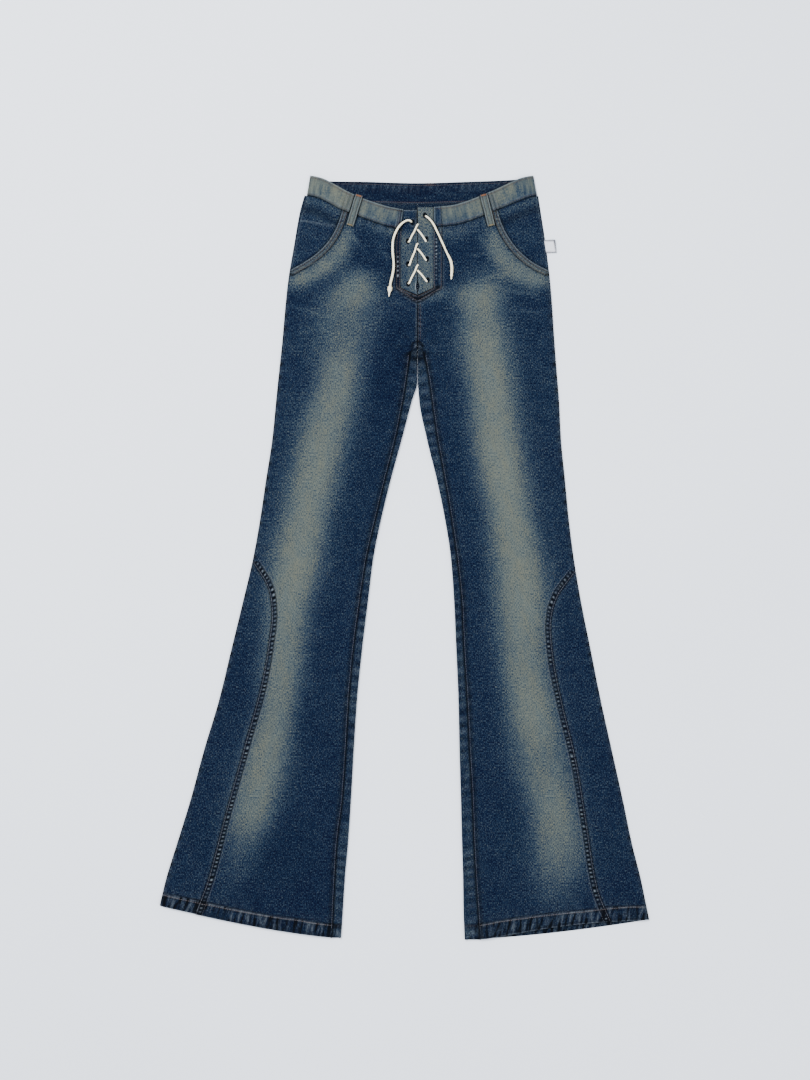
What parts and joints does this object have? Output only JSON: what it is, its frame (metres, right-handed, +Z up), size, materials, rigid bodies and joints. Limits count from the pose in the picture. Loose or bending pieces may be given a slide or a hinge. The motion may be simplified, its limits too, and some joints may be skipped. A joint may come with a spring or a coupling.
{
  "type": "flared jeans with laced front",
  "caption": "Low-rise flared denim trousers laid flat, with a laced front panel, scoop pockets and curved side panels over the flares.",
  "frame": {"origin": "middle of the laid garment's outline, on the surface that it lies on", "axes": "+X to the wearer's left leg, +Y to the waist, +Z up from the surface, front of the garment up"},
  "size_m": [0.6861, 1.0707, 0.011],
  "materials": {
    "denim": "indigo denim twill, worn pale down the thighs",
    "washed_denim": "denim washed to a pale grey green",
    "lace_cord": "off-white cotton lace",
    "label_cloth": "white woven tape, bare",
    "stitch_thread": "brown topstitching thread"
  },
  "bodies": {
    "root": {"back_right": "denim", "front_right": "denim", "side_panel_right": "denim", "pocket_facing_right": "denim", "waistband_right": "washed_denim", "lace_panel_right": "washed_denim", "back_left": "denim", "front_left": "denim", "side_panel_left": "denim", "pocket_facing_left": "denim", "waistband_left": "washed_denim", "lace_panel_left": "washed_denim", "waistband_back": "denim", "belt_loop_right": "washed_denim", "belt_loop_left": "washed_denim", "lace_over_1": "lace_cord", "lace_under_1": "lace_cord", "lace_over_2": "lace_cord", "lace_under_2": "lace_cord", "lace_over_3": "lace_cord", "lace_under_3": "lace_cord", "lace_end_right": "lace_cord", "lace_end_left": "lace_cord", "lace_knot_right": "lace_cord", "lace_tip_left": "lace_cord", "side_label": "label_cloth"}
  },
  "joints": []
}
